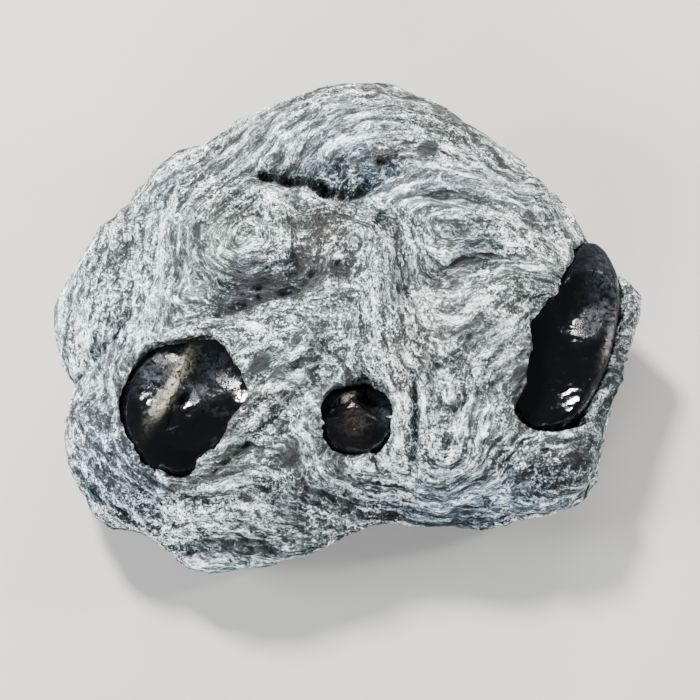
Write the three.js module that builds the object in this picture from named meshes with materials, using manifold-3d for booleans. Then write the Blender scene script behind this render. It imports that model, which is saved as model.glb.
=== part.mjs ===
// Apache tear obsidian in matrix: a lump of pale grey perlite, about as wide as a palm, that lies on the
// small flat spot of its underside. Three nodules of black volcanic glass are bedded in its upper face,
// each in a socket of its own. Millimetres, +Z up, +X to the right and +Y away from someone looking at it.
// The origin is the middle of the bounding box in plan, on the surface that the lump rests on.

import * as THREE from "three";
import { ImprovedNoise } from "three/addons/math/ImprovedNoise.js";
import { mergeVertices } from "three/addons/utils/BufferGeometryUtils.js";
import Module from "manifold-3d";

const wasm = await Module();
wasm.setup();

// Driving dimensions of the lump. The plan outline below sets its width and depth.
const ROOF_HEIGHT = 35.5; // height of the upper face over the middle, before its swells
const ROOF_SLOPE = 0.09; // the upper face rises this much per millimetre towards the back
const RIM_HEIGHT = 15.5; // height of the widest contour, at the left and right
const RIM_SLOPE = 6; // how much higher the rim is at the back, and lower at the front
const KEEL_DEPTH = 0.8; // how far the rounded underside would reach below the flat it is ground to
const UPPER_FULLNESS = 2.3; // exponent of the rounded section above the rim: 2 is an ellipse
const BACK_FULLNESS = 0.25; // how much fuller the section is at the back, and leaner at the front
const LOWER_FULLNESS = 2.3; // the same, below the rim
const FACE_DETAIL = 15; // subdivisions of the lump's mesh
const UPPER_BIAS = 0.34; // share of the mesh that is drawn up onto the carved upper face
const LUMP_WAVE = 19; // spacing of the lumps all over the skin
const LUMP_RISE = 1.5;
const GRAIN_WAVE = 6; // spacing of the smaller knobs on them
const GRAIN_RISE = 0.55;

const SOCKET_GAP = 0.3; // clearance of a nodule in its socket, all round
const NODULE_DETAIL = 4; // subdivisions of a nodule's mesh
const WINDOW_POINTS = 32; // points round the rim of an opening

// The lump's outline in plan, anticlockwise from the right.
const OUTLINE = [
  [51.2, 3.2], [49.2, 8.3], [45.4, 10.4], [42.2, 15.4], [38.8, 20.1], [34.2, 23.6], [28.8, 28.4],
  [24.4, 31], [22.9, 32.8], [19.6, 36.2], [14.6, 40.2], [6.1, 43.2], [-0.5, 43.6], [-12.8, 39.4],
  [-19.7, 36.1], [-25.2, 32.4], [-34.3, 26.8], [-40.7, 20], [-46.4, 14.8], [-49.4, 8.6], [-50.8, -1.6],
  [-50, -6.6], [-47.8, -9.6], [-48.9, -15.4], [-49.2, -21], [-47.6, -27.5], [-43, -33.8], [-39.6, -35.3],
  [-35.4, -35.3], [-33.2, -37.6], [-29.2, -40.5], [-22, -40.8], [-11.4, -39.6], [-4.8, -38.6],
  [-0.5, -36.2], [8.7, -33.9], [22.2, -33.5], [36.5, -30.8], [41.9, -27.8], [44.2, -22], [45, -15.2],
  [48.4, -6],
];

// Broad swells (and, with a negative rise, hollows) of the upper face.
const SWELLS = [
  { name: "top lobe", at: [3, 30], reach: [23, 9.5], turn: -4, rise: 4.2 },
  { name: "face under the top lobe", at: [-1, 17.5], reach: [11, 3.2], turn: -4, rise: -1.6 },
  { name: "centre ridge", at: [7, -1], reach: [6.2, 13], turn: -12, rise: 3.8 },
  { name: "right shoulder", at: [29, 8], reach: [14, 8], turn: -42, rise: 1.8 },
  { name: "fall to the right nodule", at: [39, -6], reach: [20, 10], turn: 70, rise: -4.6 },
  { name: "fall round the left nodule", at: [-25, -13], reach: [12, 9], turn: 40, rise: -1.8 },
  { name: "right hump", at: [22, -10], reach: [8.5, 11], turn: 28, rise: 2.2 },
  { name: "valley right of the ridge", at: [18, 3], reach: [8.5, 3.4], turn: 26, rise: -3.2 },
  { name: "swirl's rim", at: [-18, 10], reach: [10.5, 10.5], turn: 0, rise: 2.4 },
  { name: "swirl's eye", at: [-19, 10], reach: [4.6, 6], turn: -20, rise: -2.4 },
  { name: "dark recess", at: [-14, 0.4], reach: [9, 3.8], turn: 12, rise: -4.2 },
  { name: "ridge over the left nodule", at: [-17, -5.2], reach: [10.5, 2.6], turn: 18, rise: 2.2 },
  { name: "band between the nodules", at: [-14, -19], reach: [13, 4.2], turn: 50, rise: 1.8 },
  { name: "hollow left of the middle nodule", at: [-6.2, -14.5], reach: [3.4, 6], turn: -35, rise: -1.5 },
  { name: "left shoulder", at: [-42, 1], reach: [6, 12], turn: 0, rise: 1.8 },
  { name: "left upper lobe", at: [-41, 12], reach: [5, 5.5], turn: 0, rise: 1.6 },
  { name: "left gutter", at: [-35.5, 6], reach: [2.6, 12], turn: -8, rise: -1.6 },
  { name: "lower left lobe", at: [-42, -26], reach: [6, 6], turn: 0, rise: 1.8 },
  { name: "round patch", at: [-43.2, -17.6], reach: [3.4, 3.4], turn: 0, rise: 1.2 },
  { name: "lower left bay", at: [-35, -33], reach: [3, 4], turn: 0, rise: -1.4 },
  { name: "hollow under the middle nodule", at: [-6, -27], reach: [6, 2], turn: 12, rise: -1.3 },
  { name: "lower right lobe", at: [37, -25], reach: [7, 3.4], turn: 18, rise: 1.6 },
];

// Creases and narrow ridges of the upper face, each along a line. A negative rise cuts in.
const CREASES = [
  { name: "crease under the top lobe", halfWidth: 1.9, rise: -2.8,
    along: [[-15, 20.6], [-11, 19.4], [-5.4, 19.2], [-1.7, 17.8], [2.5, 17.5], [5.1, 19.2], [8.8, 20.6]] },
  { name: "crease on to the back", halfWidth: 1.9, rise: -1.2,
    along: [[8.8, 20.6], [15.3, 22], [21.7, 25.4]] },
  { name: "groove right of the centre ridge", halfWidth: 1.8, rise: -2.4,
    along: [[5.4, 12.4], [8, 8.4], [9.6, 4.4], [11, -0.6]] },
  { name: "valley floor", halfWidth: 1.9, rise: -1.6,
    along: [[11, -0.6], [15.1, 1.6], [20.2, 4.4], [26.3, 7.6]] },
  { name: "shoulder line", halfWidth: 2, rise: 1,
    along: [[9, 14], [16.9, 13], [23.7, 11.2], [28.9, 8.2], [34.5, 2]] },
  { name: "left side of the centre ridge", halfWidth: 1.9, rise: -1.3,
    along: [[3.6, 11], [1, 4.2], [-1.7, -3.7], [-2.7, -9.5]] },
  { name: "crest of the centre ridge", halfWidth: 2.6, rise: 1.2,
    along: [[5, 12.5], [6.4, 5], [8.4, -2.5], [10.4, -10], [12, -18], [13.6, -25]] },
  { name: "ring of the swirl", halfWidth: 1.6, rise: 1.1,
    along: [[-17.5, 18], [-13.5, 16.6], [-10.8, 13], [-9.4, 8.6], [-10.2, 4.6]] },
  { name: "gutter beside the swirl", halfWidth: 1.7, rise: -1.6,
    along: [[-8.6, 14.5], [-7, 10], [-6.8, 5.5]] },
  { name: "upper edge of the dark recess", halfWidth: 1.7, rise: 1,
    along: [[-24, 3.6], [-16, 4.6], [-8, 6.4]] },
  { name: "edge of the left gutter", halfWidth: 1.9, rise: 1,
    along: [[-32, 22], [-32.6, 14], [-33.2, 6], [-35, -3]] },
  { name: "bay below the diagonal band", halfWidth: 1.8, rise: -0.8,
    along: [[-28, -31.6], [-20, -27.6], [-12, -21.6], [-6.4, -16]] },
  { name: "front ledge", halfWidth: 2.2, rise: 0.5,
    along: [[-33.7, -27.4], [-29.5, -31.4], [-18.6, -31.4], [-8.4, -30.4], [1.7, -30], [11.8, -30.2],
      [21.9, -29], [32.2, -27], [41.2, -23.4]] },
];

// The nodules. at is the middle, radii are half the length, width and height, and turn is the angle in plan
// of the length. Each window is the outline in plan of the opening that shows the nodule. Each flake is a
// spherical scar where a chip has come off the glass.
const NODULES = [
  {
    name: "nodule_left", at: [-27.2, -16, 21], radii: [13.8, 12, 11.4], turn: 62, tilt: 0, lumps: 0.5,
    seed: 3.1,
    window: [[-37.6, -17], [-37, -12.2], [-35.4, -9], [-32.6, -7.7], [-28.4, -7.8], [-24.4, -6.8],
      [-21.8, -8], [-19.6, -11.4], [-17.5, -15.6], [-17.6, -18.2], [-21.4, -22.6], [-26, -27.6],
      [-28.6, -28], [-33.6, -25.4], [-36.8, -21.6]],
    flakes: [
      { at: [-20.2, -14.4, 38.6], radius: 12.4 },
      { at: [-26.8, -21.6, 41.2], radius: 12.6 },
    ],
  },
  {
    name: "nodule_middle", at: [1, -19.8, 24.4], radii: [7.4, 6, 6.4], turn: 8, tilt: 0, lumps: 0.25,
    seed: 8.4,
    window: [[-4.8, -19.6], [-4, -17], [-2, -15.8], [1.4, -15.3], [4.8, -15.7], [6.6, -17.6], [7, -20.4],
      [5.6, -22.8], [3.6, -24], [1.4, -24.6], [-1.2, -24.4], [-3.4, -22.8]],
    flakes: [
      { at: [5.2, -16.6, 31.4], radius: 4.3 },
      { at: [-3.6, -17.6, 31.2], radius: 3.7 },
    ],
  },
  {
    name: "nodule_right", at: [36.5, -4, 18.6], radii: [19.4, 8.9, 11.6], turn: 70, tilt: 0, lumps: 0.6,
    seed: 5.7,
    window: [[43, 14.6], [43, 7.2], [42.9, 3.4], [42.2, 0], [38.4, -5], [33.8, -8.2], [31.6, -11.4],
      [30.4, -14.6], [27.8, -18.2], [29.4, -20.8], [33, -21.6], [38.2, -20], [42.6, -16.4], [45, -9.8],
      [46.9, -1.6], [48.4, 3.6], [51.6, 6.2], [55, 8.6], [53, 15], [48, 18]],
    flakes: [
      { at: [33.4, -13.6, 40.2], radius: 17.2 },
      { at: [47.6, -5.4, 40.4], radius: 18.4 },
    ],
  },
];

const matrixMaterial = new THREE.MeshStandardMaterial({ color: 0x9a9e9b, roughness: 0.92, metalness: 0 });
const obsidianMaterial = new THREE.MeshStandardMaterial({ color: 0x0b0c10, roughness: 0.08, metalness: 0 });

const noise = new ImprovedNoise();

// Noise of several octaves, between about -1 and 1.
function roughness(point, wavelength, octaves, seed) {
  let sum = 0;
  let strength = 1;
  let scale = 1 / wavelength;
  for (let octave = 0; octave < octaves; octave += 1) {
    sum += strength * noise.noise(point.x * scale + seed, point.y * scale - seed, point.z * scale + 2 * seed);
    strength *= 0.5;
    scale *= 2.1;
  }
  return sum;
}

const smooth = (low, high, value) => THREE.MathUtils.smoothstep(value, low, high);

// Distance of the outline from the origin at every degree, read off a closed curve through its points.
function outlineRadii(points) {
  const curve = new THREE.CatmullRomCurve3(points.map(([x, y]) => new THREE.Vector3(x, y, 0)), true);
  const radii = new Array(360).fill(0);
  for (const point of curve.getPoints(4000)) {
    const degree = Math.round(THREE.MathUtils.radToDeg(Math.atan2(point.y, point.x)) + 360) % 360;
    radii[degree] = Math.max(radii[degree], Math.hypot(point.x, point.y));
  }
  return radii;
}

const OUTLINE_RADII = outlineRadii(OUTLINE);

function outlineRadius(angle) {
  const degrees = (THREE.MathUtils.radToDeg(angle) + 360) % 360;
  const before = Math.floor(degrees);
  const share = degrees - before;
  return OUTLINE_RADII[before % 360] * (1 - share) + OUTLINE_RADII[(before + 1) % 360] * share;
}

// How much a swell lifts the face at a point in plan.
function swellRise(swell, x, y) {
  const turn = THREE.MathUtils.degToRad(swell.turn);
  const dx = x - swell.at[0];
  const dy = y - swell.at[1];
  const along = (dx * Math.cos(turn) + dy * Math.sin(turn)) / swell.reach[0];
  const across = (dy * Math.cos(turn) - dx * Math.sin(turn)) / swell.reach[1];
  return swell.rise * Math.exp(-(along * along + across * across));
}

// Distance in plan from a point to a line of several stretches.
function distanceToLine(line, x, y) {
  let nearest = Infinity;
  for (let i = 0; i + 1 < line.length; i += 1) {
    const [ax, ay] = line[i];
    const [bx, by] = line[i + 1];
    const lengthSquared = (bx - ax) ** 2 + (by - ay) ** 2;
    const share = THREE.MathUtils.clamp(((x - ax) * (bx - ax) + (y - ay) * (by - ay)) / lengthSquared, 0, 1);
    nearest = Math.min(nearest, Math.hypot(x - ax - share * (bx - ax), y - ay - share * (by - ay)));
  }
  return nearest;
}

function creaseRise(crease, x, y) {
  return crease.rise * Math.exp(-((distanceToLine(crease.along, x, y) / crease.halfWidth) ** 2));
}

// The point of the lump's skin in a direction from its middle.
function skinPoint(direction) {
  const polarBefore = Math.acos(THREE.MathUtils.clamp(direction.z, -1, 1));
  const polar = polarBefore - UPPER_BIAS * Math.sin(polarBefore);
  const angle = Math.atan2(direction.y, direction.x);
  const above = polar < Math.PI / 2;
  const fullness = above ? UPPER_FULLNESS + BACK_FULLNESS * Math.sin(angle) : LOWER_FULLNESS;
  const outward = Math.sin(polar) ** (2 / fullness);
  const upward = Math.abs(Math.cos(polar)) ** (2 / fullness);

  const radius = outlineRadius(angle) * outward;
  const point = new THREE.Vector3(radius * Math.cos(angle), radius * Math.sin(angle), 0);
  const rim = RIM_HEIGHT + RIM_SLOPE * Math.sin(angle);
  const roof = ROOF_HEIGHT + ROOF_SLOPE * point.y;
  point.z = above ? rim + (roof - rim) * upward : rim - (rim + KEEL_DEPTH) * upward;

  const facing = new THREE.Vector3(Math.cos(angle) * outward, Math.sin(angle) * outward, 0);
  facing.z = (above ? 1.6 : -1.6) * upward;
  facing.normalize();
  const carved = smooth(0.02, 0.4, above ? upward : 0);
  const hereX = point.x;
  const hereY = point.y;
  let lift = 0;
  for (const swell of SWELLS) lift += swellRise(swell, hereX, hereY);
  for (const crease of CREASES) lift += creaseRise(crease, hereX, hereY);
  point.z += carved * lift;

  const coarse = roughness(point, LUMP_WAVE, 2, 4.7);
  const fine = roughness(point, GRAIN_WAVE, 2, 9.2);
  return point.addScaledVector(facing, LUMP_RISE * coarse + GRAIN_RISE * fine);
}

// A closed body whose faces follow a function of direction.
function shaped(detail, pointAt) {
  const geometry = new THREE.IcosahedronGeometry(1, detail);
  geometry.deleteAttribute("normal");
  geometry.deleteAttribute("uv");
  const body = mergeVertices(geometry, 1e-5);
  const positions = body.getAttribute("position");
  const direction = new THREE.Vector3();
  for (let i = 0; i < positions.count; i += 1) {
    direction.fromBufferAttribute(positions, i).normalize();
    const point = pointAt(direction);
    positions.setXYZ(i, point.x, point.y, point.z);
  }
  return body;
}

function solidOf(geometry) {
  const bare = geometry.clone();
  bare.deleteAttribute("normal");
  bare.deleteAttribute("uv");
  const merged = mergeVertices(bare, 1e-4);
  return new wasm.Manifold(new wasm.Mesh({
    numProp: 3,
    vertProperties: new Float32Array(merged.getAttribute("position").array),
    triVerts: new Uint32Array(merged.index.array),
  }));
}

function meshOf(name, solid, material) {
  const { vertProperties, triVerts } = solid.getMesh();
  const geometry = new THREE.BufferGeometry();
  geometry.setAttribute("position", new THREE.BufferAttribute(vertProperties, 3));
  geometry.setIndex(new THREE.BufferAttribute(triVerts, 1));
  geometry.computeVertexNormals();
  const mesh = new THREE.Mesh(geometry, material);
  mesh.name = name;
  return mesh;
}

// A nodule's unbroken body, grown by a margin all round.
function noduleBody(nodule, margin) {
  const turn = new THREE.Euler(
    0, THREE.MathUtils.degToRad(-nodule.tilt), THREE.MathUtils.degToRad(nodule.turn), "ZYX",
  );
  const middle = new THREE.Vector3(...nodule.at);
  const [length, width, height] = nodule.radii.map((radius) => radius + margin);
  const pointAt = (direction) => {
    const lump = 1 + nodule.lumps * 0.1 * roughness(direction, 0.9, 2, nodule.seed);
    return new THREE.Vector3(direction.x * length, direction.y * width, direction.z * height)
      .multiplyScalar(lump)
      .applyEuler(turn)
      .add(middle);
  };
  return solidOf(shaped(NODULE_DETAIL, pointAt));
}

function flakeScar(flake) {
  const ball = new THREE.IcosahedronGeometry(flake.radius, flake.radius < 6 ? 3 : 7);
  ball.translate(...flake.at);
  return solidOf(ball);
}

// The opening above a nodule: its window in plan, drawn upwards from the nodule's middle.
function windowPrism(nodule) {
  const height = 40;
  const curve = new THREE.CatmullRomCurve3(nodule.window.map(([x, y]) => new THREE.Vector3(x, y, 0)), true);
  const rim = curve.getPoints(WINDOW_POINTS).slice(0, -1);
  const outline = new THREE.Shape(rim.map((point) => new THREE.Vector2(point.x, point.y)));
  const prism = new THREE.ExtrudeGeometry(outline, { depth: height, bevelEnabled: false });
  prism.translate(0, 0, nodule.at[2]);
  return solidOf(prism);
}

function obsidianNodule(nodule) {
  let solid = noduleBody(nodule, 0);
  for (const flake of nodule.flakes) solid = solid.subtract(flakeScar(flake));
  return meshOf(nodule.name, solid, obsidianMaterial);
}

function perliteMatrix() {
  let solid = solidOf(shaped(FACE_DETAIL, skinPoint));
  const ground = new THREE.BoxGeometry(200, 200, 20);
  ground.translate(0, 0, -10);
  solid = solid.subtract(solidOf(ground));
  for (const nodule of NODULES) {
    solid = solid.subtract(noduleBody(nodule, SOCKET_GAP)).subtract(windowPrism(nodule));
  }
  return meshOf("matrix", solid, matrixMaterial);
}

const specimen = new THREE.Group();
specimen.add(perliteMatrix());
for (const nodule of NODULES) specimen.add(obsidianNodule(nodule));

// The outline was drawn about another point: this brings the middle of the bounding box to the origin.
const box = new THREE.Box3().setFromObject(specimen);
specimen.position.set(-(box.min.x + box.max.x) / 2, -(box.min.y + box.max.y) / 2, 0);

export default specimen;
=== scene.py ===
"""Apache tear obsidian in matrix: a lump of flow-banded perlite with three nodules of black volcanic glass.

The file is laid out as a Blender add-on and run as a script. Lengths are metres in Blender. Places on the
upper face are plan millimetres about the point that the CAD source draws the lump from, as they are there.
"""

import math

import bpy
from bpy.props import FloatProperty, FloatVectorProperty, PointerProperty
from bpy.types import Operator, Panel, PropertyGroup
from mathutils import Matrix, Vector, noise


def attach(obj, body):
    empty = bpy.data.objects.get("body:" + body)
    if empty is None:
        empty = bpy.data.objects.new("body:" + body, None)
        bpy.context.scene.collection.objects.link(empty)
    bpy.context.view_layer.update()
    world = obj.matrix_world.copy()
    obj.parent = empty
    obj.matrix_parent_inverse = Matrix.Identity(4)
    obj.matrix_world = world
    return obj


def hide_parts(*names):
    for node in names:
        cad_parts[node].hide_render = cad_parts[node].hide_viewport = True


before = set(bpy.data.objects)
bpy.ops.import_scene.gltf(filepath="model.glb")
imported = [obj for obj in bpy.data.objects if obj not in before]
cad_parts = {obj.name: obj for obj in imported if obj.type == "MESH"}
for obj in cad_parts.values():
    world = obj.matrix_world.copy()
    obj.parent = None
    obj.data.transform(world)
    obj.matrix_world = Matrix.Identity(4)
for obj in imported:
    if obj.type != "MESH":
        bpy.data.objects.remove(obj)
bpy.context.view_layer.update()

bl_info = {
    "name": "Apache Tear Specimen",
    "version": (1, 0, 0),
    "blender": (4, 5, 0),
    "location": "View3D > Sidebar > Specimen",
    "description": "Builds a lump of perlite with nodules of obsidian bedded in its upper face",
    "category": "Add Mesh",
}

MM = 0.001
PLAN_SHIFT = Vector((0.37, -0.71, 0))  # from the point that the plan is drawn about to the frame's origin
RIM_HEIGHT = 15.5  # height of the lump's widest contour, at the left and right
RIM_SLOPE = 6  # how much higher the rim is at the back, and lower at the front


def srgb(code):
    """Linear colour of a hexadecimal sRGB code."""
    parts = [int(code[i:i + 2], 16) / 255 for i in (0, 2, 4)]
    return tuple(p / 12.92 if p < 0.04045 else ((p + 0.055) / 1.055) ** 2.4 for p in parts)


# Colours of the perlite.
ASH = srgb("848f90")
PALE_ASH = srgb("aab6b6")
CHALK = srgb("c2ccc9")
ICE = srgb("b8cad2")
BLUE_ASH = srgb("8496a3")
MAUVE = srgb("7a7b84")
MOSS_GREY = srgb("727e7a")
STEEL = srgb("6a7986")
OLIVE = srgb("565f5b")
SLATE = srgb("41474d")
# Painted shade, for the face under the top lobe, the recess and a furrow.
HOLLOW_SHADE = srgb("20242c")
UMBER = srgb("4b4845")
# Painted shade, for the slit under the top lobe.
SLIT_SHADE = srgb("1c1d20")

# Soft patches of colour on the upper face; those marked below are painted shade, in full or in part. Each:
# name, colour, strength, middle, reach and turn in plan.
PATCHES = (
    ("left half of the top lobe", PALE_ASH, 0.6, (-13, 29), (13, 7), 12),
    ("right half of the top lobe", MOSS_GREY, 0.6, (17, 29), (8, 6), -30),
    ("bluish middle of the top lobe", BLUE_ASH, 0.6, (-1, 25), (9, 5), 0),
    # Painted shade under the overhanging top lobe.
    ("face under the top lobe", HOLLOW_SHADE, 0.8, (0.5, 20.6), (6, 2.2), -14),
    # Painted shade in the slit beside it.
    ("slit left of the face", SLIT_SHADE, 0.8, (-9, 19.6), (4.4, 0.9), 2),
    ("umber pocket of the lobe", UMBER, 0.8, (7, 24.5), (3.6, 3.4), 10),
    ("bluish step under the lobe", BLUE_ASH, 0.8, (10, 18.6), (8, 2.4), -4),
    ("dark chips on the step", SLATE, 0.7, (17, 16.6), (8, 1.3), 0),
    ("oval in the top lobe", SLATE, 0.7, (13.4, 25), (2, 1.3), 8),
    ("dark end of the lobe", SLATE, 0.7, (22.6, 26), (2.4, 3), 30),
    ("upper left slope", PALE_ASH, 0.4, (-22, 22), (10, 7), 30),
    ("swirl", MOSS_GREY, 1.0, (-18, 10), (8, 8), 0),
    ("eye of the swirl", PALE_ASH, 0.4, (-18.6, 8.6), (3, 4.6), -20),
    ("dark arc of the swirl", SLATE, 0.6, (-14.4, 11), (1.3, 4.8), 18),
    # The slope's own brown tone, darkened further as painted shade.
    ("slope left of the centre ridge", UMBER, 0.8, (-4.4, 6), (3.6, 9), -8),
    # Painted shade in the recess and at its end.
    ("recess over the left nodule", HOLLOW_SHADE, 1.0, (-15, -0.2), (11, 3.6), 9),
    ("end of the recess", SLATE, 0.8, (-5.4, -2.6), (5, 4), 10),
    ("flecks above the recess", SLATE, 0.7, (-12, 4.6), (9, 1.8), 8),
    ("centre ridge, upper half", CHALK, 0.15, (6.6, 3), (3.6, 9), -10),
    ("centre ridge, lower half", CHALK, 0.8, (10.6, -12), (4.6, 9), -8),
    # Painted shade in the groove and in the valley.
    ("groove beside the ridge", SLATE, 0.85, (9, 5), (1.1, 7), 16),
    ("valley", SLATE, 1.0, (19, 5), (9.5, 3.2), 26),
    ("shoulder", PALE_ASH, 0.3, (21, 12.6), (13, 2.4), -22),
    ("right hump", PALE_ASH, 0.5, (22, -9), (7, 9), 38),
    ("mossy side of the right hump", MOSS_GREY, 0.6, (30, 2), (9, 6), -40),
    ("mauve rim of the right nodule", MAUVE, 0.7, (34, -5), (3, 8), -45),
    ("left gutter", ICE, 0.95, (-34.4, 9), (2.6, 11), -8),
    ("upper end of the left gutter", BLUE_ASH, 0.7, (-31, 19), (3, 5), -20),
    ("left shoulder", ICE, 0.65, (-43, -5), (6, 9), 0),
    ("speckled hollow", ASH, 0.8, (-42, 7), (3.6, 3), 0),
    ("lower left lobe", STEEL, 0.8, (-42, -28), (9, 9), 0),
    ("round patch", SLATE, 0.8, (-43.2, -17.9), (2.9, 2.9), 0),
    ("ridge over the left nodule", PALE_ASH, 0.7, (-17, -5.6), (12, 1.8), 17),
    # The band's own olive tone, darkened further as painted shade.
    ("diagonal band", OLIVE, 1.0, (-16.6, -19.6), (11, 3.2), 46),
    ("ridge beyond the diagonal band", PALE_ASH, 0.6, (-11, -18), (9, 2.4), 46),
    ("bay below the diagonal band", MOSS_GREY, 0.7, (-19, -30), (9, 3), 24),
    ("oval beside the left nodule", SLATE, 1.0, (-15.3, -12.8), (1.5, 2.6), -28),
    ("oval under the diagonal band", SLATE, 0.9, (-10, -27), (2.4, 1.6), 10),
    ("right of the middle nodule", PALE_ASH, 0.6, (16.6, -19), (3, 9), 0),
    # Painted shade in the furrow.
    ("furrow right of the middle nodule", HOLLOW_SHADE, 0.8, (10.9, -20.5), (0.8, 6), -2),
    ("brown side of the ridge", UMBER, 0.6, (18.4, -18.4), (1.4, 4), -10),
    ("front of the right hump", MOSS_GREY, 0.5, (23, -22), (8, 4), 0),
    ("oval of the right rim", SLATE, 0.9, (28.6, -13.6), (1.1, 2.2), -30),
    ("front band, left", PALE_ASH, 0.5, (-22, -37), (14, 5), 0),
    ("front band, middle", MAUVE, 0.4, (4, -32.6), (16, 3), 0),
    ("front band, right", STEEL, 0.85, (24, -32), (13, 3.4), 4),
    ("lower right lobe", SLATE, 0.75, (37, -25.4), (6, 2.2), 18),
    ("shell beyond the right nodule", MAUVE, 0.6, (50, -2), (2.6, 10), -6),
)

# Beds of streaks in the once molten rock. Streaks run straight at an angle, in rings round a point, or in a
# fan from one. Each bed: name, way to run, angle or point, middle, reach and turn in plan.
BEDS = (
    ("top lobe", "ring", (3, 4), (0, 33), (30, 10), 0),
    ("upper left slope", "straight", 28, (-23, 22), (9, 8), 30),
    ("step under the lobe", "straight", -4, (11, 18), (13, 3), 0),
    ("swirl", "ring", (-18, 9.6), (-18, 10), (9, 9), 0),
    ("left of the ridge", "straight", 68, (-5, 8), (3.6, 8), 0),
    ("centre ridge", "fan", (4.6, 22), (8, -6), (6.5, 15), -10),
    ("valley", "straight", 30, (18, 4), (8, 3.4), 28),
    ("shoulder", "ring", (14, -8), (24, 12), (13, 4), -24),
    ("right hump", "straight", 49, (25, -6), (11, 13), 20),
    ("right nodule's rim", "straight", 62, (36, -12), (5, 10), 30),
    ("right slope", "straight", 98, (40, 10), (4, 8), 20),
    ("recess", "straight", 14, (-14, -1), (11, 4), 10),
    ("ridge over the left nodule", "straight", 16, (-18, -6), (14, 2.6), 16),
    ("left gutter", "straight", 82, (-34, 8), (5, 14), -6),
    ("left shoulder", "straight", 74, (-44, -2), (6, 12), 0),
    ("round patch", "ring", (-43.2, -17.9), (-43.2, -17.9), (3.4, 3.4), 0),
    ("rim of the left nodule", "ring", (-27, -16), (-36, -22), (6, 11), 40),
    ("lower left lobe", "straight", -38, (-43, -29), (7, 6), 0),
    ("diagonal band", "straight", 45, (-14, -18), (14, 6), 46),
    ("bay", "straight", 27, (-18, -30), (12, 3.6), 24),
    ("rim of the middle nodule", "ring", (1, -20), (1, -20), (8.5, 7.5), 0),
    ("furrow", "straight", 88, (14, -21), (4.6, 8), 0),
    ("front of the hump", "straight", 62, (24, -20), (7, 6), 0),
    ("lower right lobe", "straight", 24, (37, -25), (8, 4), 18),
    ("front band", "straight", 2, (2, -35), (46, 5.5), 0),
)

# Furrows and seams finer than the CAD's. Each: name, half width, rise and line, in plan millimetres.
SEAMS = (
    ("slit under the lobe", 0.7, -1.5, ((-15, 20.9), (-11, 19.9), (-7, 19.9), (-4.6, 19))),
    ("overhang of the face", 0.8, -1.5, ((-4.6, 18.6), (-1.4, 17.6), (1.6, 18), (3.4, 19))),
    ("nick of the face", 0.7, -1.2, ((5.2, 22), (7.4, 21.4))),
    ("chips of the step", 0.5, -0.8, ((13, 16.8), (16, 16.4), (19.4, 16.8), (22, 16.2))),
    ("furrow beside the ridge", 0.8, -1.3, ((5.4, 13), (7.6, 9.4), (9.2, 6), (10, 2), (10.4, -1))),
    ("edge of the ridge", 0.5, 1.0,
     ((11, -1), (13.2, -5), (14.6, -8.6), (15.4, -12), (16.8, -15.6), (17, -18.4))),
    ("left edge of the ridge", 0.7, 0.6, ((4.2, 13.6), (2.6, 8), (0.4, 1.6))),
    ("furrow by the middle nodule", 0.6, -1.2, ((11.3, -15), (10.9, -19), (10.8, -23), (10.7, -28.4))),
    ("seam of the shoulder", 0.8, 0.5, ((9, 15), (17, 14), (24, 11.8), (30, 8), (34.6, 2))),
    ("seam of the lower left lobe", 0.7, 0.8,
     ((-35.4, -24.6), (-33, -28), (-29.6, -31.2), (-22, -32), (-14, -30))),
    ("furrow over the left shoulder", 0.7, -0.8, ((-49, -11), (-44.6, -9.4), (-40, -6), (-37, -2))),
    ("edge of the left gutter", 0.8, 0.7, ((-30.4, 18), (-31.4, 10), (-32, 3), (-35, -4))),
    ("rings of the swirl", 0.6, 0.5, ((-21, 17.6), (-15.4, 17.4), (-11.6, 13.6), (-10, 8.6), (-11, 4.4))),
    ("inner ring of the swirl", 0.5, -0.7, ((-19, 14.6), (-15.6, 13), (-14, 9), (-15, 5.6))),
    ("lower edge of the recess", 0.6, -1, ((-24.6, -3.6), (-17, -1.6), (-9, 0.6), (-6, 3))),
    ("upper edge of the diagonal band", 0.6, 0.6, ((-6.4, -9), (-12, -14.4), (-18, -20.6), (-24.6, -27.6))),
    ("furrow of the diagonal band", 0.6, -0.7, ((-5, -12.6), (-10, -18.6), (-17, -25.4), (-23, -29.6))),
    ("crack by the middle nodule", 0.4, -0.7, ((-8.4, -5), (-6.6, -7), (-4.6, -9.6), (-3.4, -11))),
    ("seam of the lower right lobe", 0.6, 0.7, ((29, -27.6), (33, -23.4), (38, -21.6), (43, -20.6))),
)

# Openings in plan over the nodules.
WINDOWS = {
    "nodule_left": (
        (-37.6, -17), (-37, -12.2), (-35.4, -9), (-32.6, -7.7), (-28.4, -7.8), (-24.4, -6.8), (-21.8, -8),
        (-19.6, -11.4), (-17.5, -15.6), (-17.6, -18.2), (-21.4, -22.6), (-26, -27.6), (-28.6, -28),
        (-33.6, -25.4), (-36.8, -21.6)),
    "nodule_middle": (
        (-4.8, -19.6), (-4, -17), (-2, -15.8), (1.4, -15.3), (4.8, -15.7), (6.6, -17.6), (7, -20.4),
        (5.6, -22.8), (3.6, -24), (1.4, -24.6), (-1.2, -24.4), (-3.4, -22.8)),
    "nodule_right": (
        (43, 14.6), (43, 7.2), (42.9, 3.4), (42.2, 0), (38.4, -5), (33.8, -8.2), (31.6, -11.4),
        (30.4, -14.6), (27.8, -18.2), (29.4, -20.8), (33, -21.6), (38.2, -20), (42.6, -16.4), (45, -9.8),
        (46.9, -1.6), (48.4, 3.6), (51.6, 6.2), (55, 8.6), (53, 15), (48, 18)),
}

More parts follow.
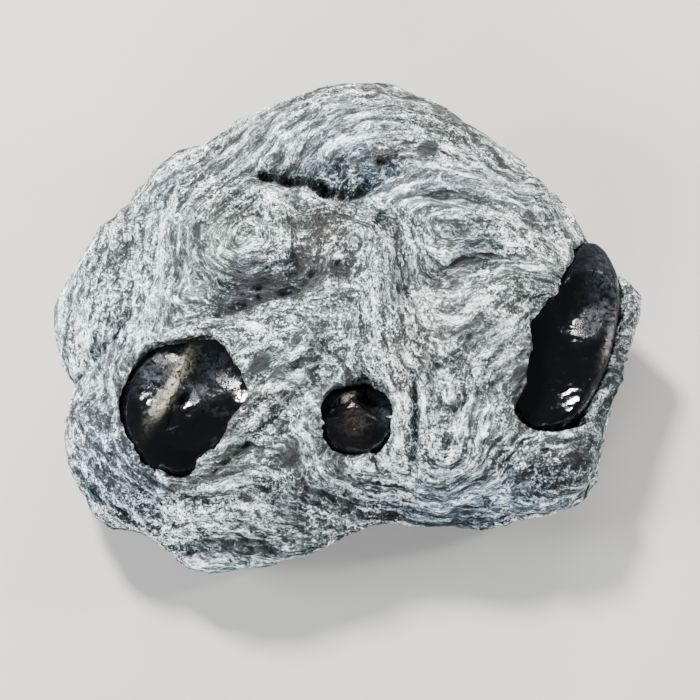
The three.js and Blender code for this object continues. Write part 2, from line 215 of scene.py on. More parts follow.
# Height that each opening is cut down to.
WINDOW_FLOOR = {"nodule_left": 21.6, "nodule_middle": 25, "nodule_right": 18.8}
WINDOW_DEPTH = 40  # how far up the cut goes from there, past the skin
WINDOW_GROWTH = 0.16  # how far each opening is cut back, so that the CAD's own wall goes
SOCKET_GROWTH = 0.14  # the same for the sockets

# Scars where flakes have come off each nodule: middle and radius, in millimetres.
FLAKES = {
    "nodule_left": (((-21.4, -12.6, 34.6), 9), ((-24, -24.5, 41), 13.4), ((-35.2, -15.9, 37.6), 10.2),
                    ((-31, -8.4, 36), 8)),
    "nodule_middle": (((5.2, -16.6, 31.4), 4.4), ((-3.6, -17.6, 31.2), 3.8), ((6.4, -19.6, 29.6), 2.4),
                      ((0.2, -27.5, 44.5), 16)),
    "nodule_right": (((33.4, -13.6, 40.2), 17.3), ((47.6, -5.4, 40.4), 18.5), ((31, -20, 31), 7.6),
                     ((41.4, 1, 34.6), 8.2)),
}

# The step of the left nodule: a scar that stops at two upright planes, each a place and a normal in plan.
STEP_SCAR = ((-29.5, -15.5, 41), 14)
STEP_WALLS = (((-30.4, -18), (1, -0.09)), ((-28, -15.6), (0.455, -0.89)))

# Colours of the rind and of the tinted glass.
TAN = srgb("8d8878")
DUSK = srgb("4c5157")
BROWN = srgb("3c3330")

# Patches of them on the nodules, with a painted reflection and a painted glint on the right one. Each:
# name, colour, strength, middle, reach and turn in plan.
RIND_AND_REFLECTION_PATCHES = {
    "nodule_left": (
        ("tan rind along the step", TAN, 1.0, (-29.8, -14.4), (5, 1.1), 62),
        ("tan rind at the top", TAN, 0.35, (-27.4, -9.4), (2.2, 1.2), 30),
        ("dusky speckles, upper left", DUSK, 0.35, (-33, -11.8), (3.4, 2.8), 40),
        ("dusky speckles, upper right", DUSK, 0.25, (-23, -11), (4, 2.4), -30),
        ("speckles under the step", DUSK, 0.5, (-25.2, -15.4), (2.4, 1.4), 0),
    ),
    "nodule_middle": (
        ("rind over the knob", TAN, 0.6, (-0.4, -17), (1.8, 0.5), 15),
        ("brown knob", BROWN, 0.3, (1, -21.4), (2.4, 2.8), 0),
        ("speckles at the right", DUSK, 0.4, (5.2, -18.4), (1.2, 2.6), 0),
    ),
    "nodule_right": (
        ("specks on the upper end", DUSK, 0.3, (46, 9), (4, 7), -10),
        # Painted reflection: a brownish grey band down the right side of the glass.
        ("brown side", UMBER, 0.9, (45.6, -6), (1.5, 10), -9),
        # Painted glint: a paler grey on the glass at the edge of the shell.
        ("glassy edge of the shell", DUSK, 0.4, (42.4, -0.6), (1.6, 3.4), -38),
    ),
}

VIEW_TARGET = (0, -4.6, 18)  # what the camera and the lamps point at

# Where the ripples of the glass start from.
STRIKES = {"nodule_left": (-37, -8, 30), "nodule_middle": (7, -14, 30), "nodule_right": (38, -24, 26)}

ROUNDING_OFF = 10  # passes of smoothing on the lump
NODULE_ROUNDING_OFF = 14
ROCK_EDGE = math.radians(50)  # edges sharper than this stay sharp
GLASS_EDGE = math.radians(28)


class PerliteSettings(PropertyGroup):
    voxel: FloatProperty(
        name="Mesh size", description="Edge length of the fine mesh", default=0.00056, min=0.0003,
        subtype="DISTANCE", unit="LENGTH")
    smoothing: FloatProperty(
        name="Smoothing", description="How strongly the coarse faces are rounded off", default=0.5,
        min=0, max=1, subtype="FACTOR")
    relief: FloatProperty(
        name="Relief", description="How strongly lumps, streaks and pits stand out", default=1.0,
        min=0, max=2)
    mottling: FloatProperty(
        name="Mottling", description="Contrast of the pale and dark mottles", default=1.0, min=0, max=2)
    speck_colour: FloatVectorProperty(
        name="Specks", description="Colour of the dark specks", subtype="COLOR", size=3, min=0, max=1,
        default=srgb("202226"))


class ObsidianSettings(PropertyGroup):
    voxel: FloatProperty(
        name="Mesh size", description="Edge length of the fine mesh", default=0.0003, min=0.00015,
        subtype="DISTANCE", unit="LENGTH")
    glass_colour: FloatVectorProperty(
        name="Glass", description="Colour of the volcanic glass", subtype="COLOR", size=3, min=0, max=1,
        default=(0.0008, 0.0009, 0.0013))
    roughness: FloatProperty(
        name="Roughness", description="Roughness of the bare glass", default=0.07,
        min=0, max=1, subtype="FACTOR")


class StageSettings(PropertyGroup):
    floor_colour: FloatVectorProperty(
        name="Floor", description="Colour of the floor", subtype="COLOR", size=3, min=0, max=1,
        default=(0.26, 0.25, 0.235))
    elevation: FloatProperty(
        name="Elevation", description="Camera's angle above the horizon", default=math.radians(70),
        subtype="ANGLE", unit="ROTATION")
    distance: FloatProperty(
        name="Distance", description="From the camera to the specimen", default=0.43, subtype="DISTANCE",
        unit="LENGTH")
    lens: FloatProperty(
        name="Lens", description="Focal length of the camera", default=127,
        subtype="DISTANCE_CAMERA", unit="CAMERA")


def plan(co):
    """A point of the frame in the plan's millimetres."""
    return Vector(co) / MM - PLAN_SHIFT


def smooth_step(low, high, value):
    """0 at low and 1 at high, smoothly between."""
    share = min(max((value - low) / (high - low), 0.0), 1.0)
    return share * share * (3 - 2 * share)


def patch_weight(x, y, middle, reach, turn):
    """1 at the middle of an oval in plan, falling off smoothly."""
    angle = math.radians(turn)
    dx, dy = x - middle[0], y - middle[1]
    along = (dx * math.cos(angle) + dy * math.sin(angle)) / reach[0]
    across = (dy * math.cos(angle) - dx * math.sin(angle)) / reach[1]
    return math.exp(-(along * along + across * across))


def line_distance(line, x, y):
    """Distance in plan from a point to a line of several stretches."""
    nearest = 1e9
    for (ax, ay), (bx, by) in zip(line, line[1:]):
        run_x, run_y = bx - ax, by - ay
        share = min(max(((x - ax) * run_x + (y - ay) * run_y) / (run_x ** 2 + run_y ** 2), 0), 1)
        nearest = min(nearest, math.hypot(x - ax - share * run_x, y - ay - share * run_y))
    return nearest


def facing_up(point):
    """1 on the upper face and 0 below the rim of the lump, which is higher at the back."""
    rim = RIM_HEIGHT + RIM_SLOPE * point.y / math.hypot(point.x, point.y)
    return smooth_step(rim - 5, rim + 5, point.z)


def across_bed(bed, x, y):
    """Millimetres across the streaks of one bed."""
    name, way, heading, middle, reach, turn = bed
    if way == "straight":
        angle = math.radians(heading)
        return (y - middle[1]) * math.cos(angle) - (x - middle[0]) * math.sin(angle)
    from_point = math.hypot(middle[0] - heading[0], middle[1] - heading[1])
    if way == "ring":
        return math.hypot(x - heading[0], y - heading[1]) - from_point
    straight_down = math.atan2(middle[1] - heading[1], middle[0] - heading[0])
    return from_point * (math.atan2(y - heading[1], x - heading[0]) - straight_down)


def level_of(joined, x, y):
    """Level of the joined beds at a place in plan, and how surely they cover it."""
    total, weights = 0, 1e-9
    for bed, way_up, level in joined:
        weight = patch_weight(x, y, *bed[3:])
        total += weight * (way_up * across_bed(bed, x, y) + level)
        weights += weight
    return total / weights, weights


def join(beds):
    """Gives each bed a way up and a level, so that the streaks of one run on into the next."""
    joined = []
    for bed in beds:
        middle, reach, turn = bed[3:]
        angle = math.radians(turn)
        best = (1e9, 1, 0)
        for way_up in (1, -1):
            rises = []
            for step in range(16):
                out = 0.5 + 0.5 * (step % 2)
                along = out * reach[0] * math.cos(step * math.pi / 8)
                aside = out * reach[1] * math.sin(step * math.pi / 8)
                x = middle[0] + along * math.cos(angle) - aside * math.sin(angle)
                y = middle[1] + along * math.sin(angle) + aside * math.cos(angle)
                level, weight = level_of(joined, x, y)
                rises.append((level - way_up * across_bed(bed, x, y), weight))
            weights = sum(weight for rise, weight in rises)
            level = sum(rise * weight for rise, weight in rises) / weights
            misfit = sum(weight * (rise - level) ** 2 for rise, weight in rises)
            best = min(best, (misfit, way_up, level))
        joined.append((bed, *best[1:]))
    return joined


def flow_across(joined, point):
    """Millimetres across the streaks at a point. Streaks run where this stays the same."""
    level = level_of(joined, point.x, point.y)[0]
    below_rim = point.z - 16 + 2.5 * noise.noise(point * 0.05)
    return level + (1 - facing_up(point)) * below_rim


def seam_rise(x, y):
    """Rise in millimetres of the furrows and seams at a place in plan."""
    rise = 0
    for name, half_width, height, line in SEAMS:
        away = line_distance(line, x, y) / half_width
        if away < 3:
            rise += height * math.exp(-away * away)
    return rise


def relief_at(point, across):
    """Height in millimetres of the fine relief at a point of the skin."""
    wander = across + 0.9 * noise.noise(point * 0.3)
    along = point * 0.1
    wide = noise.noise(Vector((wander * 0.42, 0, 0)) + along)
    narrow = noise.noise(Vector((wander * 1.05, 4, 2)) + along * 1.6)
    lumps = noise.fractal(point * 0.16, 1, 2.1, 3)
    knobs = noise.noise(point * 0.55)
    cells = noise.voronoi(point * 0.42)[0][0]
    pitted = smooth_step(-0.1, 0.35, noise.noise(point * 0.11 + Vector((7, 3, 1))))
    pits = -smooth_step(0.34, 0.05, cells) * pitted
    streaks = 0.5 * (1 - 2 * abs(wide)) - 0.25 + 0.3 * narrow
    seams = facing_up(point) * seam_rise(point.x, point.y)
    return 0.6 * lumps + 0.2 * knobs + streaks + 0.7 * pits + 1.25 * seams


def tint_at(point):
    """Base colour of the perlite at a point of the skin, with painted shade in some hollows, and how free
    of fibres it is.
    """
    colour, calm = Vector(ASH), 0.0
    on_top = facing_up(point)
    x = point.x + 1.4 * noise.noise(point * 0.22)
    y = point.y + 1.4 * noise.noise(point * 0.22 + Vector((9, 9, 9)))
    for name, patch, strength, middle, reach, turn in PATCHES:
        weight = patch_weight(x, y, middle, reach, turn)
        if weight > 0.01:
            colour = colour.lerp(Vector(patch), on_top * strength * min(1.35 * weight, 1))
        if name.startswith("oval"):
            calm = max(calm, on_top * smooth_step(0.3, 0.7, weight))
    broad = noise.noise(point * 0.055 + Vector((2, 8, 5)))
    aside = Vector(BLUE_ASH).lerp(Vector(PALE_ASH), smooth_step(-0.4, 0.4, broad))
    return colour.lerp(aside, 0.55 * (1 - on_top)), calm


def wall_shade(point, normal):
    """Share of the colour that is left where the skin turns down into an opening, as painted shade along
    its rim.
    """
    steep = smooth_step(0.75, 0.3, normal.z) * facing_up(point)
    if steep < 0.1:
        return 1
    nearest = min(line_distance(outline + outline[:1], point.x, point.y) for outline in WINDOWS.values())
    return 1 - 0.7 * steep * smooth_step(1.6, 0.6, nearest)


def only(*pieces):
    """Selects only these objects, the first of them active."""
    bpy.ops.object.select_all(action="DESELECT")
    for piece in pieces:
        piece.select_set(True)
    bpy.context.view_layer.objects.active = pieces[0]


def copy_of_node(node, name):
    """A new object with the merged mesh of a CAD node."""
    only(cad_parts[node])
    bpy.ops.object.duplicate()
    piece = bpy.context.object
    piece.parent = None
    piece.name = piece.data.name = name
    for key in [key for key in piece.keys() if key.startswith("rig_")]:
        del piece[key]
    piece.data.materials.clear()
    bpy.ops.object.mode_set(mode="EDIT")
    bpy.ops.mesh.select_all(action="SELECT")
    bpy.ops.mesh.remove_doubles(threshold=0.000002)
    bpy.ops.object.mode_set(mode="OBJECT")
    return piece


def apply_modifier(piece, kind, name, **values):
    only(piece)
    modifier = piece.modifiers.new(name, kind)
    for key, value in values.items():
        setattr(modifier, key, value)
    bpy.ops.object.modifier_apply(modifier=modifier.name)


def cut(piece, cutter):
    apply_modifier(piece, "BOOLEAN", "Cut", operation="DIFFERENCE", object=cutter, solver="MANIFOLD")
    bpy.data.objects.remove(cutter)


def curve_round(points, steps):
    """A closed smooth curve through plan points."""
    count = len(points)
    curve = []
    for i in range(count):
        a, b, c, d = (Vector(points[(i + k) % count]) for k in (-1, 0, 1, 2))
        for step in range(steps):
            t = step / steps
            curve.append(0.5 * (2 * b + (c - a) * t + (2 * a - 5 * b + 4 * c - d) * t ** 2
                                + (3 * b - a - 3 * c + d) * t ** 3))
    return curve


def window_cutter(node):
    """A slightly ragged prism over a nodule, to cut the rim of its opening clean."""
    curve = curve_round(WINDOWS[node], 8)
    middle = sum(curve, Vector((0, 0))) / len(curve)
    bpy.ops.object.select_all(action="DESELECT")
    bpy.ops.mesh.primitive_circle_add(vertices=len(curve), radius=0.01, fill_type="NGON")
    cutter = bpy.context.object
    for vertex, spot in zip(cutter.data.vertices, curve):
        nicks = 0.22 * noise.noise(Vector((spot.x, spot.y, 3)) * 0.7)
        nicks += 0.14 * noise.noise(Vector((spot.x, spot.y, 9)) * 1.9)
        grown = spot + (spot - middle).normalized() * (WINDOW_GROWTH + nicks)
        vertex.co = (Vector((*grown, WINDOW_FLOOR[node])) + PLAN_SHIFT) * MM
    bpy.ops.object.mode_set(mode="EDIT")
    bpy.ops.mesh.select_all(action="SELECT")
    bpy.ops.mesh.extrude_region_move(TRANSFORM_OT_translate={"value": (0, 0, WINDOW_DEPTH * MM)})
    bpy.ops.mesh.select_all(action="SELECT")
    bpy.ops.mesh.normals_make_consistent(inside=False)
    bpy.ops.object.mode_set(mode="OBJECT")
    return cutter


def flake(middle, radius, walls=()):
    """A ball to cut a curved scar with, cut off at upright walls."""
    bpy.ops.object.select_all(action="DESELECT")
    bpy.ops.mesh.primitive_ico_sphere_add(
        subdivisions=6, radius=radius * MM, location=(Vector(middle) + PLAN_SHIFT) * MM)
    ball = bpy.context.object
    bpy.ops.object.transform_apply(location=True)
    bpy.ops.object.mode_set(mode="EDIT")
    for place, normal in walls:
        bpy.ops.mesh.select_all(action="SELECT")
        bpy.ops.mesh.bisect(
            plane_co=(Vector((*place, 0)) + PLAN_SHIFT) * MM, plane_no=(*normal, 0),
            use_fill=True, clear_inner=True)
    bpy.ops.object.mode_set(mode="OBJECT")
    return ball


class Shader:
    """Short ways to add and join the nodes of one material."""

    def __init__(self, name):
        self.material = bpy.data.materials.new(name)
        self.material.use_nodes = True
        self.nodes = self.material.node_tree.nodes
        self.links = self.material.node_tree.links
        self.surface = self.nodes["Principled BSDF"]

    def put(self, socket, value):
        if isinstance(value, bpy.types.NodeSocket):
            self.links.new(value, socket)
        else:
            socket.default_value = value

    def place(self):
        """Object coordinates in millimetres."""
        coordinates = self.nodes.new("ShaderNodeTexCoord")
        return self.vector("SCALE", coordinates.outputs["Object"], scale=1 / MM)

    def value(self, name):
        """What the mesh stores under a name."""
        node = self.nodes.new("ShaderNodeAttribute")
        node.attribute_name = name
        return node

    def math(self, operation, first, second=0.0, clamp=False):
        node = self.nodes.new("ShaderNodeMath")
        node.operation, node.use_clamp = operation, clamp
        for socket, value in zip(node.inputs, (first, second)):
            self.put(socket, value)
        return node.outputs[0]

    def vector(self, operation, first, second=(0.0, 0.0, 0.0), scale=1.0):
        node = self.nodes.new("ShaderNodeVectorMath")
        node.operation = operation
        self.put(node.inputs[0], first)
        self.put(node.inputs[1], second)
        if operation == "SCALE":
            self.put(node.inputs["Scale"], scale)
        return node.outputs["Value" if operation == "DISTANCE" else "Vector"]

    def noise(self, vector, scale, detail=2.0, roughness=0.5, distortion=0.0):
        node = self.nodes.new("ShaderNodeTexNoise")
        self.put(node.inputs["Vector"], vector)
        node.inputs["Scale"].default_value = scale
        node.inputs["Detail"].default_value = detail
        node.inputs["Roughness"].default_value = roughness
        node.inputs["Distortion"].default_value = distortion
        return node.outputs["Fac"]

    def warp(self, vector, scale):
        """Three noises as one vector about zero."""
        node = self.nodes.new("ShaderNodeTexNoise")
        self.put(node.inputs["Vector"], vector)
        node.inputs["Scale"].default_value = scale
        node.inputs["Detail"].default_value = 2
        return self.vector("SUBTRACT", node.outputs["Color"], (0.5, 0.5, 0.5))

    def cells(self, vector, scale, feature="F1"):
        node = self.nodes.new("ShaderNodeTexVoronoi")
        node.feature = feature
        self.put(node.inputs["Vector"], vector)
        self.put(node.inputs["Scale"], scale)
        return node

    def span(self, value, low, high, to_low=0.0, to_high=1.0):
        """Maps low..high smoothly to another range, and holds it at the ends."""
        node = self.nodes.new("ShaderNodeMapRange")
        node.interpolation_type = "SMOOTHSTEP"
        self.put(node.inputs["Value"], value)
        for key, number in (("From Min", low), ("From Max", high), ("To Min", to_low), ("To Max", to_high)):
            self.put(node.inputs[key], number)
        return node.outputs["Result"]

    def mix(self, share, first, second, blend="MIX"):
        node = self.nodes.new("ShaderNodeMix")
        node.data_type, node.blend_type = "RGBA", blend
        self.put(node.inputs["Factor"], share)
        for socket, value in ((node.inputs[6], first), (node.inputs[7], second)):
            self.put(socket, value if isinstance(value, bpy.types.NodeSocket) else (*value, 1))
        return node.outputs[2]

    def grey(self, value):
        node = self.nodes.new("ShaderNodeCombineColor")
        for socket in node.inputs:
            self.put(socket, value)
        return node.outputs[0]

    def bump(self, height, strength, distance, normal=None):
        node = self.nodes.new("ShaderNodeBump")
        self.put(node.inputs["Height"], height)
        node.inputs["Strength"].default_value = strength
        node.inputs["Distance"].default_value = distance
        if normal is not None:
            self.put(node.inputs["Normal"], normal)
        return node.outputs["Normal"]

    def stretched(self, across, place, along):
        """A place whose pattern is drawn out along the flow, the more the smaller along is."""
        node = self.nodes.new("ShaderNodeCombineXYZ")
        self.put(node.inputs["X"], across)
        return self.vector("ADD", node.outputs[0], self.vector("SCALE", place, scale=along))

    def lines(self, value, width):
        """1 where a noise passes its middle, falling to 0 within width of it."""
        return self.span(self.math("ABSOLUTE", self.math("SUBTRACT", value, 0.5)), 0.0, width, 1.0, 0.0)


def perlite_material(settings):
    """Mottled grey rock: streaks along the flow, pale fibres and veins, dark specks and a rough grain."""
    shader = Shader("perlite")
    place = shader.place()
    tint = shader.value("tint").outputs["Color"]
    relief = shader.value("relief").outputs["Fac"]
    wander = shader.math("MULTIPLY", shader.math("SUBTRACT", shader.noise(place, 0.3, 3), 0.5), 2.2)
    across = shader.math("ADD", shader.value("flow").outputs["Fac"], wander)
    long_flow = shader.stretched(across, place, 0.14)
    short_flow = shader.stretched(across, place, 0.45)

    bands = shader.noise(long_flow, 0.2, 2)
    streaks = shader.noise(long_flow, 0.75, 5, 0.62)
    threads = shader.noise(long_flow, 2.3, 3, 0.6, 0.4)
    mottles = shader.noise(short_flow, 0.62, 6, 0.7, 0.6)
    clots = shader.noise(place, 0.75, 5, 0.7, 0.6)
    grain = shader.noise(place, 2.6, 4, 0.7, 0.5)

    # Pale fibres along the flow, nets of them round long cells, and a web of finer veins across it.
    nets = shader.math("MULTIPLY", shader.lines(threads, 0.045), shader.span(streaks, 0.38, 0.52, 0.1, 1.0))
    for cell_scale, width, strength, fade in ((0.36, 0.06, 1.0, 0.3), (0.95, 0.12, 0.85, 0.5)):
        warp = shader.vector("SCALE", shader.warp(place, 1.3 * cell_scale), scale=0.75 / cell_scale)
        cells = shader.cells(shader.vector("ADD", short_flow, warp), cell_scale, "DISTANCE_TO_EDGE")
        edges = shader.span(cells.outputs["Distance"], 0.0, width, strength, 0.0)
        present = shader.span(shader.noise(place, fade, 3), 0.4, 0.54, 0.15, 1.0)
        nets = shader.math("MAXIMUM", nets, shader.math("MULTIPLY", edges, present))
    fine_web = shader.lines(shader.noise(place, 0.9, 5, 0.65, 0.8), 0.018)
    pale = shader.math("MAXIMUM", nets, shader.math("MULTIPLY", fine_web, 0.9))
    lively = shader.math("SUBTRACT", 1.0, shader.value("calm").outputs["Fac"])
    pale = shader.math("MULTIPLY", pale, lively)

    # Light and dark, as powers of a factor on the tint. Clots and grain stand out more where the rock is
    # sugary.
    sugary = shader.span(shader.noise(place, 0.09, 2), 0.42, 0.58, 0.5, 1.5)
    clotted = shader.math(
        "ADD", shader.span(clots, 0.4, 0.6, -0.6, 0.6), shader.span(grain, 0.38, 0.62, -0.9, 0.9))
    light = shader.math(
        "ADD", shader.span(streaks, 0.38, 0.62, -0.7, 0.6), shader.span(mottles, 0.4, 0.6, -0.8, 0.7))
    light = shader.math("ADD", light, shader.math("MULTIPLY", clotted, sugary))
    light = shader.math("ADD", light, shader.span(bands, 0.4, 0.6, -0.3, 0.3))
    light = shader.math("MULTIPLY", light, shader.math("ADD", 0.2, shader.math("MULTIPLY", lively, 0.8)))
    light = shader.math("ADD", light, shader.math("MULTIPLY", pale, 2.4))
    # The relief darkens pits and furrows as painted shade and lightens ridges as painted light; on the
    # raised seams it also gives their own pale lines.
    light = shader.math("ADD", light, shader.math("MULTIPLY", relief, 0.5))
    light = shader.math("MULTIPLY", shader.math("SUBTRACT", light, 1.9), settings.mottling)
    factor = shader.math("POWER", 3.3, light)
    base = shader.mix(1.0, tint, shader.grey(factor), "MULTIPLY")
    base = shader.vector("MINIMUM", base, (0.93, 0.95, 0.94))

    # Dark specks in clusters.
    speck = shader.cells(place, 1.15)
    dots = shader.span(speck.outputs["Distance"], 0.12, 0.26, 1.0, 0.0)
    clusters = shader.span(shader.noise(place, 0.5, 3, 0.6), 0.52, 0.64)
    dots = shader.math("MULTIPLY", dots, clusters)
    base = shader.mix(shader.math("MULTIPLY", dots, 0.8), base, settings.speck_colour)

    shader.put(shader.surface.inputs["Base Color"], base)
    shader.put(shader.surface.inputs["Roughness"], shader.span(mottles, 0.4, 0.65, 0.8, 0.45))
    height = shader.math("MULTIPLY", streaks, 1.4)
    for pattern, share in ((mottles, 0.9), (clots, 0.6), (grain, 0.35), (pale, 0.1)):
        height = shader.math("ADD", height, shader.math("MULTIPLY", pattern, share))
    shader.put(shader.surface.inputs["Normal"], shader.bump(height, 0.9, 0.0013))
    return shader.material


def obsidian_material(name, settings, strike):
    """Black volcanic glass with faint ripples about a strike, and, where the mesh says, crumbs of rind and
    patches of painted reflection and glint.
    """
    shader = Shader(name)
    place = shader.place()
    from_strike = shader.vector("DISTANCE", place, tuple(Vector(strike) + PLAN_SHIFT))
    waver = shader.math("MULTIPLY", shader.noise(place, 0.25, 2), 4.0)
    ripples = shader.math("SINE", shader.math("MULTIPLY", shader.math("ADD", from_strike, waver), 3.4))
    chips = shader.noise(place, 0.55, 3, 0.55)
    dimples = shader.cells(place, 0.5, "SMOOTH_F1").outputs["Distance"]

    patchy = shader.span(shader.noise(place, 1.1, 6, 0.75, 0.5), 0.36, 0.66)
    # The rind strength also carries the painted reflection and glint.
    crumbs_and_reflections = shader.math("MULTIPLY", shader.value("rind").outputs["Fac"], patchy)
    base = shader.mix(crumbs_and_reflections, settings.glass_colour, shader.value("tint").outputs["Color"])
    shader.put(shader.surface.inputs["Base Color"], base)
    gloss = settings.roughness
    smear = shader.span(shader.noise(place, 0.6, 4, 0.6), 0.5, 0.75, gloss, gloss + 0.2)
    roughness = shader.math("ADD", smear, shader.math("MULTIPLY", crumbs_and_reflections, 0.5), clamp=True)
    shader.put(shader.surface.inputs["Roughness"], roughness)
    shader.surface.inputs["IOR"].default_value = 1.49
    shader.surface.inputs["Specular IOR Level"].default_value = 0.3
    normal = shader.bump(ripples, 0.08, 0.0003)
    normal = shader.bump(chips, 0.1, 0.0008, normal)
    normal = shader.bump(dimples, 0.05, 0.0005, normal)
    normal = shader.bump(crumbs_and_reflections, 0.5, 0.0003, normal)
    shader.put(shader.surface.inputs["Normal"], normal)
    return shader.material


def rind_and_reflection_at(point, patches):
    """Colour and strength of the rind, and of the painted reflection and glint, at a point of a nodule."""
    drift = 0.9 * noise.noise(point * 0.5)
    colour, weights, strength = Vector(), 1e-9, 0.0
    for name, patch, most, middle, reach, turn in patches:
        weight = patch_weight(point.x + drift, point.y + drift, middle, reach, turn)
        colour += weight * Vector(patch)
        weights += weight
        strength = max(strength, most * min(1.3 * weight, 1))
    return colour / weights, strength


def store(piece, name, values):
    """Keeps a number or a colour for each vertex."""
    is_colour = not isinstance(values[0], (int, float))
    attribute = piece.data.attributes.new(name, "FLOAT_COLOR" if is_colour else "FLOAT", "POINT")
    if is_colour:
        attribute.data.foreach_set("color", [number for value in values for number in (*value, 1)])
    else:
        attribute.data.foreach_set("value", values)


def skin_values(joined, point, normal):
    """Streaks, relief, colour and calm of the perlite at a point. The flat underneath has no relief."""
    across = flow_across(joined, point)
    relief = relief_at(point, across) * smooth_step(0.2, 1.6, point.z)
    colour, calm = tint_at(point)
    return across, relief, wall_shade(point, normal) * colour, calm


def dress(piece, joined):
    """Stores the streaks, relief, colour and calm of the perlite on a mesh, and returns the relief."""
    values = [skin_values(joined, plan(vertex.co), vertex.normal) for vertex in piece.data.vertices]
    flow, relief, tint, calm = zip(*values)
    store(piece, "flow", flow)
    store(piece, "relief", relief)
    store(piece, "tint", tint)
    store(piece, "calm", calm)
    return relief


def dress_cut_edges(piece, joined):
    """Stores the same on the points that the cuts have added, which come out white."""
    stored = piece.data.attributes
    flow, relief, tint, calm = (stored[name].data for name in ("flow", "relief", "tint", "calm"))
    for vertex in piece.data.vertices:
        if min(tint[vertex.index].color) < 1:
            continue
        across, height, colour, stillness = skin_values(joined, plan(vertex.co), vertex.normal)
        flow[vertex.index].value = across
        relief[vertex.index].value = height
        tint[vertex.index].color = (*colour, 1)
        calm[vertex.index].value = stillness


def raise_by(piece, heights):
    """Moves the skin out and in along its normals, each way by a vertex group and a Displace modifier."""
    for way, name in ((1, "rise"), (-1, "sink")):
        most = max(way * height for height in heights)
        group = piece.vertex_groups.new(name=name)
        for index, height in enumerate(heights):
            if way * height > 0:
                group.add([index], way * height / most, "REPLACE")
        modifier = piece.modifiers.new(name, "DISPLACE")
        modifier.strength, modifier.mid_level, modifier.vertex_group = way * most, 0, name
    only(piece)
    for name in ("rise", "sink"):
        bpy.ops.object.modifier_apply(modifier=name)


class SPECIMEN_OT_matrix(Operator):
    """Builds the lump of perlite with its sockets"""
    bl_idname = "specimen.matrix"
    bl_label = "Perlite Matrix"

    def execute(self, context):
        settings = context.scene.specimen_perlite
        lump = copy_of_node("matrix", "perlite_matrix")
        apply_modifier(lump, "REMESH", "Fine mesh", mode="VOXEL", voxel_size=settings.voxel)
        apply_modifier(lump, "SMOOTH", "Round off", factor=settings.smoothing, iterations=ROUNDING_OFF)

        joined = join(BEDS)
        relief = dress(lump, joined)
        raise_by(lump, [height * MM * settings.relief for height in relief])

        cutters = [window_cutter(node) for node in WINDOWS]
        for node in WINDOWS:
            socket = copy_of_node(node, "socket_cutter")
            apply_modifier(socket, "DISPLACE", "Clearance", strength=SOCKET_GROWTH * MM, mid_level=0)
            cutters.append(socket)
        for cutter in cutters:
            dress(cutter, joined)
            cut(lump, cutter)
        dress_cut_edges(lump, joined)
        only(lump)
        bpy.ops.object.shade_smooth_by_angle(angle=ROCK_EDGE)
        lump.data.materials.clear()
        lump.data.materials.append(perlite_material(settings))
        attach(lump, "root")
        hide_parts("matrix")
        return {"FINISHED"}


class SPECIMEN_OT_nodules(Operator):
    """Builds the nodules of obsidian"""
    bl_idname = "specimen.nodules"
    bl_label = "Obsidian Nodules"

    def execute(self, context):
        settings = context.scene.specimen_obsidian
        for node, strike in STRIKES.items():
            nodule = copy_of_node(node, node.replace("nodule", "obsidian"))
            apply_modifier(nodule, "REMESH", "Fine mesh", mode="VOXEL", voxel_size=settings.voxel)
            apply_modifier(nodule, "SMOOTH", "Round off", factor=0.5, iterations=NODULE_ROUNDING_OFF)
            for scar in FLAKES[node]:
                cut(nodule, flake(*scar))
            if node == "nodule_left":
                cut(nodule, flake(*STEP_SCAR, STEP_WALLS))
            only(nodule)
            bpy.ops.object.shade_smooth_by_angle(angle=GLASS_EDGE)
            nodule.data.materials.clear()
            # Rind, painted reflection and painted glint, as colour and strength for each vertex.
            rinds_and_reflections = [rind_and_reflection_at(plan(vertex.co), RIND_AND_REFLECTION_PATCHES[node]) for vertex in nodule.data.vertices]
            store(nodule, "tint", [colour for colour, strength in rinds_and_reflections])
            store(nodule, "rind", [strength for colour, strength in rinds_and_reflections])
            nodule.data.materials.append(obsidian_material(nodule.name, settings, strike))
            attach(nodule, "root")
            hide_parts(node)
        return {"FINISHED"}


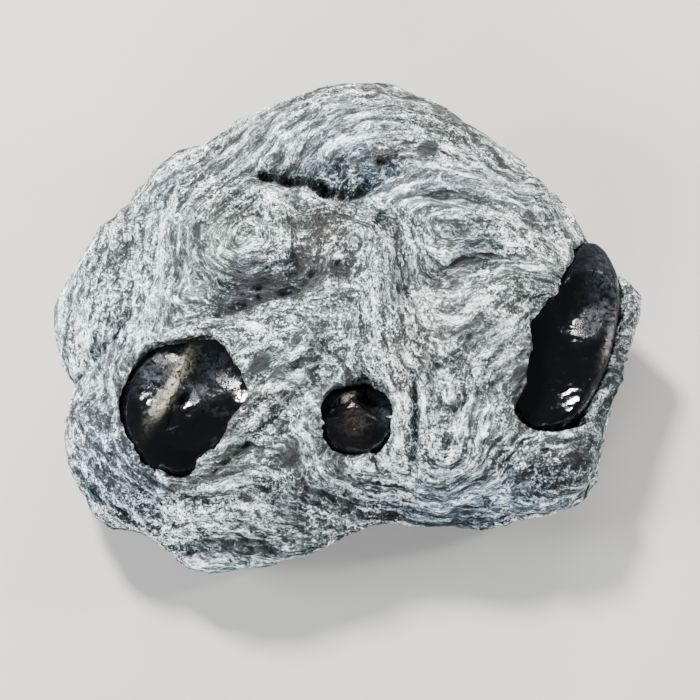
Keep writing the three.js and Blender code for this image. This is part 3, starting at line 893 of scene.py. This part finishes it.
class SPECIMEN_OT_stage(Operator):
    """Adds the floor, the soft lights and the camera"""
    bl_idname = "specimen.stage"
    bl_label = "Stage"

    def execute(self, context):
        settings = context.scene.specimen_stage
        bpy.ops.object.select_all(action="DESELECT")
        bpy.ops.mesh.primitive_plane_add(size=6)
        floor = context.object
        floor.name = "floor"
        shader = Shader("floor")
        cloudy = shader.noise(shader.place(), 0.02, 2)
        shade = shader.mix(shader.span(cloudy, 0.3, 0.7), settings.floor_colour,
                           tuple(0.96 * part for part in settings.floor_colour))
        shader.put(shader.surface.inputs["Base Color"], shade)
        shader.surface.inputs["Roughness"].default_value = 0.8
        floor.data.materials.append(shader.material)
        floor.visible_glossy = False  # so that the glass does not mirror it

        target = (Vector(VIEW_TARGET) + PLAN_SHIFT) * MM
        # Name, place, size, power, colour, and whether the lamp shows as a highlight.
        lamps = (
            ("key", (-0.32, 0.52, 0.74), 0.16, 50, (1.0, 0.985, 0.96), True),
            ("back", (0.25, 0.85, 0.45), 0.4, 16, (1.0, 0.99, 0.97), False),
            ("fill", (-0.25, -0.85, 0.5), 0.6, 30, (0.9, 0.95, 1.0), False),
            ("right", (0.75, 0.1, 0.4), 0.08, 8, (1.0, 0.98, 0.95), True),
            ("left", (-0.75, -0.05, 0.42), 0.3, 15, (0.92, 0.97, 1.0), False),
        )
        for name, place, size, power, colour, shows in lamps:
            bpy.ops.object.light_add(type="AREA", location=place)
            lamp = context.object
            lamp.name = name
            lamp.data.shape, lamp.data.size = "DISK", size
            lamp.data.energy, lamp.data.color = power, colour
            lamp.visible_glossy = shows
            lamp.rotation_euler = (target - Vector(place)).to_track_quat("-Z", "Y").to_euler()

        world = bpy.data.worlds.new("studio")
        world.use_nodes = True
        background = world.node_tree.nodes["Background"]
        background.inputs["Color"].default_value = (0.78, 0.8, 0.83, 1)
        background.inputs["Strength"].default_value = 0.26
        context.scene.world = world

        back = Vector((0, -math.cos(settings.elevation), math.sin(settings.elevation)))
        bpy.ops.object.camera_add(location=target + settings.distance * back)
        camera = context.object
        camera.rotation_euler = (-back).to_track_quat("-Z", "Y").to_euler()
        camera.data.lens = settings.lens
        camera.data.sensor_width = 36
        context.scene.camera = camera
        return {"FINISHED"}


class SPECIMEN_PT_panel(Panel):
    bl_idname = "SPECIMEN_PT_panel"
    bl_label = "Apache Tear Specimen"
    bl_space_type = "VIEW_3D"
    bl_region_type = "UI"
    bl_category = "Specimen"

    def draw(self, context):
        sections = (
            (context.scene.specimen_perlite, "specimen.matrix"),
            (context.scene.specimen_obsidian, "specimen.nodules"),
            (context.scene.specimen_stage, "specimen.stage"),
        )
        for settings, operator in sections:
            box = self.layout.box()
            for key in settings.__annotations__:
                box.prop(settings, key)
            box.operator(operator)


CLASSES = (
    PerliteSettings, ObsidianSettings, StageSettings,
    SPECIMEN_OT_matrix, SPECIMEN_OT_nodules, SPECIMEN_OT_stage,
    SPECIMEN_PT_panel,
)


def register():
    for cls in CLASSES:
        bpy.utils.register_class(cls)
    bpy.types.Scene.specimen_perlite = PointerProperty(type=PerliteSettings)
    bpy.types.Scene.specimen_obsidian = PointerProperty(type=ObsidianSettings)
    bpy.types.Scene.specimen_stage = PointerProperty(type=StageSettings)


def unregister():
    del bpy.types.Scene.specimen_stage
    del bpy.types.Scene.specimen_obsidian
    del bpy.types.Scene.specimen_perlite
    for cls in reversed(CLASSES):
        bpy.utils.unregister_class(cls)


def main():
    register()
    bpy.ops.specimen.stage()
    bpy.ops.specimen.matrix()
    bpy.ops.specimen.nodules()


if __name__ == "__main__":
    main()
